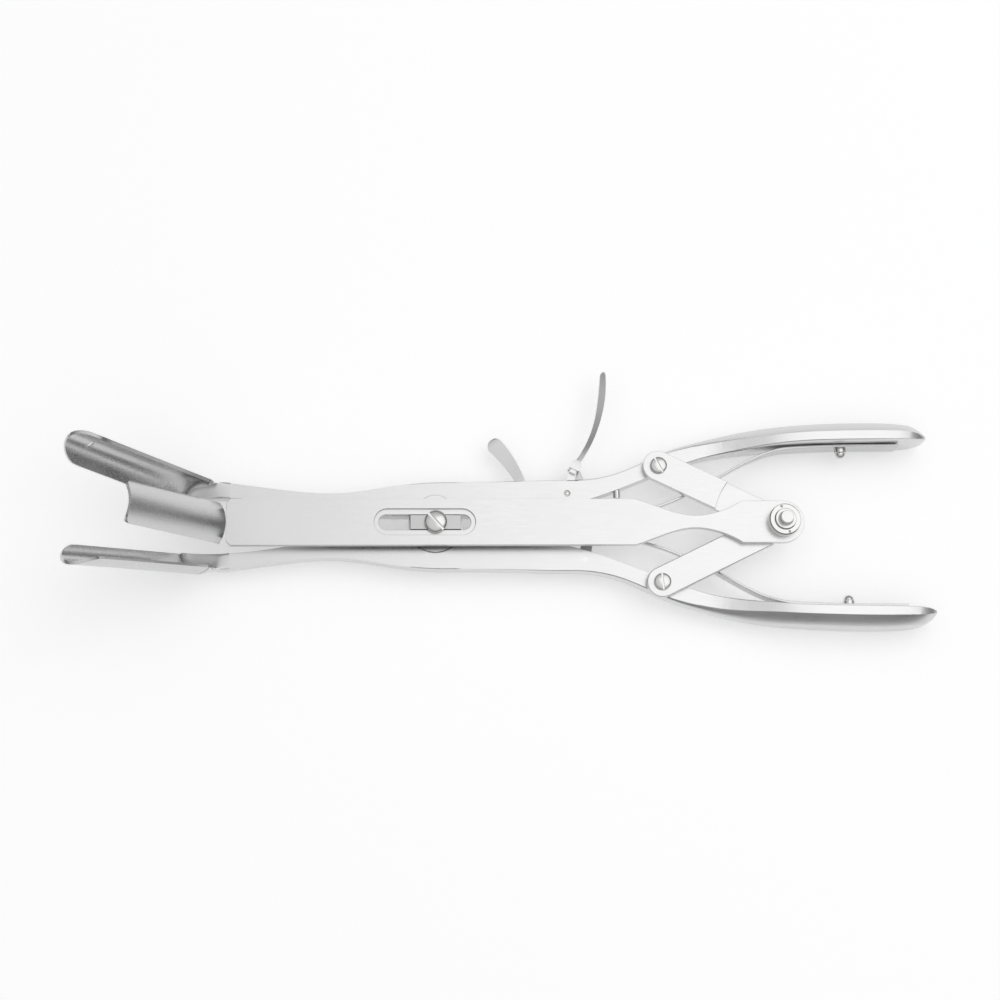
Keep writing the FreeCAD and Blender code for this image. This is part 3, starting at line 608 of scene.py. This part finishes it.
def domed_rivet(node, side):
    """Round rivet with a stepped foot and a dome, on the inner face of a handle."""
    rim = [(AXIS_MM, 0.0), (1.85, 0.0), (1.85, 1.2), (1.62, 1.42), (1.62, 1.7), (1.5, 2.2), (1.2, 2.65),
           (0.75, 2.92), (0.3, 3.0), (AXIS_MM, 3.0)]
    centre = (STUD_X_MM, side * STUD_Y_MM, HANDLE_MIDDLE_MM)
    mesh = turned(node + "_dome", rim, centre, (0, -side, 0), 40)
    soften(mesh)
    add_piece(node + "_domed", mesh, node)


def cupped_pin(node, centre):
    """Pin with a ring turned into its end."""
    rim = [(AXIS_MM, 5.0), (1.0, 5.0), (1.0, 9.12), (0.95, 9.18), (0.74, 8.7), (0.62, 8.7), (0.42, 9.0),
           (AXIS_MM, 9.05)]
    mesh = turned(node + "_ring", rim, (centre[0], centre[1], 0), (0, 0, 1), 40)
    soften(mesh)
    add_piece(node + "_cupped", mesh, node)


def spanner_nut(node):
    """Round nut with a collar and two spanner holes."""
    top = BAR_TOP_MM + 3.2
    hole_circle = 4.0
    hole_foot = top - 1.2
    hole_end = top + 2
    first = (2.2, BAR_TOP_MM)
    rim = [first, (4.65, BAR_TOP_MM), (4.8, BAR_TOP_MM + 0.15), (4.8, top - 0.3), (4.5, top),
           (3.3, top), (3.2, top + 0.1), (3.2, top + 0.5), (3.0, top + 0.7), (2.3, top + 0.7),
           (2.2, top + 0.6), first]
    rings = []
    for radius, height in rim:
        rings.append([(REAR_X_MM + radius * math.cos(a), radius * math.sin(a), height)
                      for a in circle_angles(64)])
    points, faces = tube(rings)
    # The profile ends where it starts, so the two caps are left out and the last ring is welded
    mesh = mesh_from(node + "_ring", points, faces[:-2])
    work = bmesh.new()
    work.from_mesh(mesh)
    bmesh.ops.remove_doubles(work, verts=work.verts, dist=WELD_MM * MM)
    bmesh.ops.recalc_face_normals(work, faces=work.faces)
    work.to_mesh(mesh)
    work.free()
    for angle in (105, 285):
        a = math.radians(angle)
        spot = (REAR_X_MM + hole_circle * math.cos(a), hole_circle * math.sin(a), 0)
        rim = [(AXIS_MM, hole_foot), (0.45, hole_foot), (0.45, hole_end), (AXIS_MM, hole_end)]
        mesh = boolean(mesh, turned("hole", rim, spot, (0, 0, 1), 20), "DIFFERENCE")
    soften(mesh, 30)
    even_normals(add_piece(node + "_turned", mesh, node))


def make_pieces():
    forged_lever("upper_lever", 1)
    forged_lever("lower_lever", -1)
    eased("centre_bar", 0.6, 4)
    eased("upper_link", 0.35, 3)
    eased("lower_link", 0.35, 3)
    eased("centre_blade", 0.28, 3)
    side_blade("upper_blade", 1)
    side_blade("lower_blade", -1)
    rolled_over("thumb_rest", 0.8, 10.0)
    rolled_over("lock_lever", 0.95, 18.0)
    cupped_pin("lock_pin", LOCK_PIN_MM)
    eased("slide_block", 0.2)
    eased("rear_bolt", 0.25)
    eased("upper_leaf_spring", 0.15)
    eased("lower_leaf_spring", 0.15)
    main = (1.7, 3.35, 0.6, MAIN_SEAT_MM, MAIN_SEAT_MM + 2.2)
    slotted_head("main_screw", (0, 0), main, -48, (0.8, 0.9))
    knee = (1.3, 2.5, 5.0, LINK_TOP_MM + 0.1, LINK_TOP_MM + 1.4)
    slotted_head("upper_knee_screw", (KNEE_X_MM, KNEE_Y_MM), knee, -62, (0.55, 0.5))
    slotted_head("lower_knee_screw", (KNEE_X_MM, -KNEE_Y_MM), knee, -86, (0.55, 0.5))
    domed_rivet("upper_spring_stud", 1)
    domed_rivet("lower_spring_stud", -1)
    spanner_nut("rear_nut")


# Stage

def paper_white():
    """White paper that keeps a shadow. The lens and the steel see it a little brighter."""
    material, tree, shader = new_material("floor_look")
    shader.inputs["Base Color"].default_value = FLOOR_WHITE
    shader.inputs["Roughness"].default_value = FLOOR_ROUGH
    shader.inputs["Specular IOR Level"].default_value = 0.0
    shader.inputs["Emission Color"].default_value = (1, 1, 1, 1)
    rays = tree.nodes.new("ShaderNodeLightPath")
    either = tree.nodes.new("ShaderNodeMath")
    either.operation = "ADD"
    tree.links.new(rays.outputs["Is Camera Ray"], either.inputs[0])
    tree.links.new(rays.outputs["Is Glossy Ray"], either.inputs[1])
    glow = tree.nodes.new("ShaderNodeMath")
    glow.operation = "MULTIPLY"
    glow.inputs[1].default_value = FLOOR_GLOW
    tree.links.new(either.outputs["Value"], glow.inputs[0])
    tree.links.new(glow.outputs["Value"], shader.inputs["Emission Strength"])
    return material


def make_floor():
    half = FLOOR_SIZE / 2
    mesh = bpy.data.meshes.new("floor")
    corners = [(-half, -half, 0), (half, -half, 0), (half, half, 0), (-half, half, 0)]
    mesh.from_pydata(corners, [], [(0, 1, 2, 3)])
    floor = bpy.data.objects.new("floor", mesh)
    bpy.context.collection.objects.link(floor)
    mesh.materials.append(paper_white())


def make_camera():
    data = bpy.data.cameras.new("camera")
    data.sensor_width = SENSOR
    data.lens = SENSOR * CAMERA_DISTANCE / VIEW_SPAN
    camera = bpy.data.objects.new("camera", data)
    bpy.context.collection.objects.link(camera)
    tilt = math.radians(CAMERA_TILT_DEG)
    swing = math.radians(CAMERA_SWING_DEG)
    away = Vector((-math.sin(swing), -math.sin(tilt), math.cos(tilt) * math.cos(swing))).normalized()
    camera.location = AIM + away * CAMERA_DISTANCE
    right = Vector((1, 0, 0))
    right = (right - away * right.dot(away)).normalized()
    up = away.cross(right).normalized()
    camera.rotation_euler = Matrix((right, up, away)).transposed().to_euler()
    bpy.context.scene.camera = camera


def make_lamp():
    """One wide soft lamp above the handles."""
    data = bpy.data.lights.new("top_lamp", "AREA")
    data.shape = "RECTANGLE"
    data.size, data.size_y = LAMP_SIZE
    data.energy = LAMP_POWER
    lamp = bpy.data.objects.new("top_lamp", data)
    bpy.context.collection.objects.link(lamp)
    lamp.location = LAMP_PLACE
    lamp.rotation_euler = (AIM - Vector(LAMP_PLACE)).to_track_quat("-Z", "Y").to_euler()


def make_light():
    """Dim walls, a bright ceiling, and the lamp."""
    world = bpy.data.worlds.new("studio")
    bpy.context.scene.world = world
    world.use_nodes = True
    tree = world.node_tree
    place = tree.nodes.new("ShaderNodeTexCoord")
    split = tree.nodes.new("ShaderNodeSeparateXYZ")
    ramp = tree.nodes.new("ShaderNodeValToRGB")
    tree.links.new(place.outputs["Generated"], split.inputs["Vector"])
    tree.links.new(split.outputs["Z"], ramp.inputs["Fac"])
    tree.links.new(ramp.outputs["Color"], tree.nodes["Background"].inputs["Color"])
    stops = ramp.color_ramp.elements
    stops[0].position = WALL_HEIGHT
    stops[0].color = WALL_LIGHT
    stops[1].position = CEILING_HEIGHT
    stops[1].color = CEILING_LIGHT
    make_lamp()


bpy.context.scene.view_settings.view_transform = "Standard"
dress_nodes()
make_pieces()
make_floor()
make_camera()
make_light()
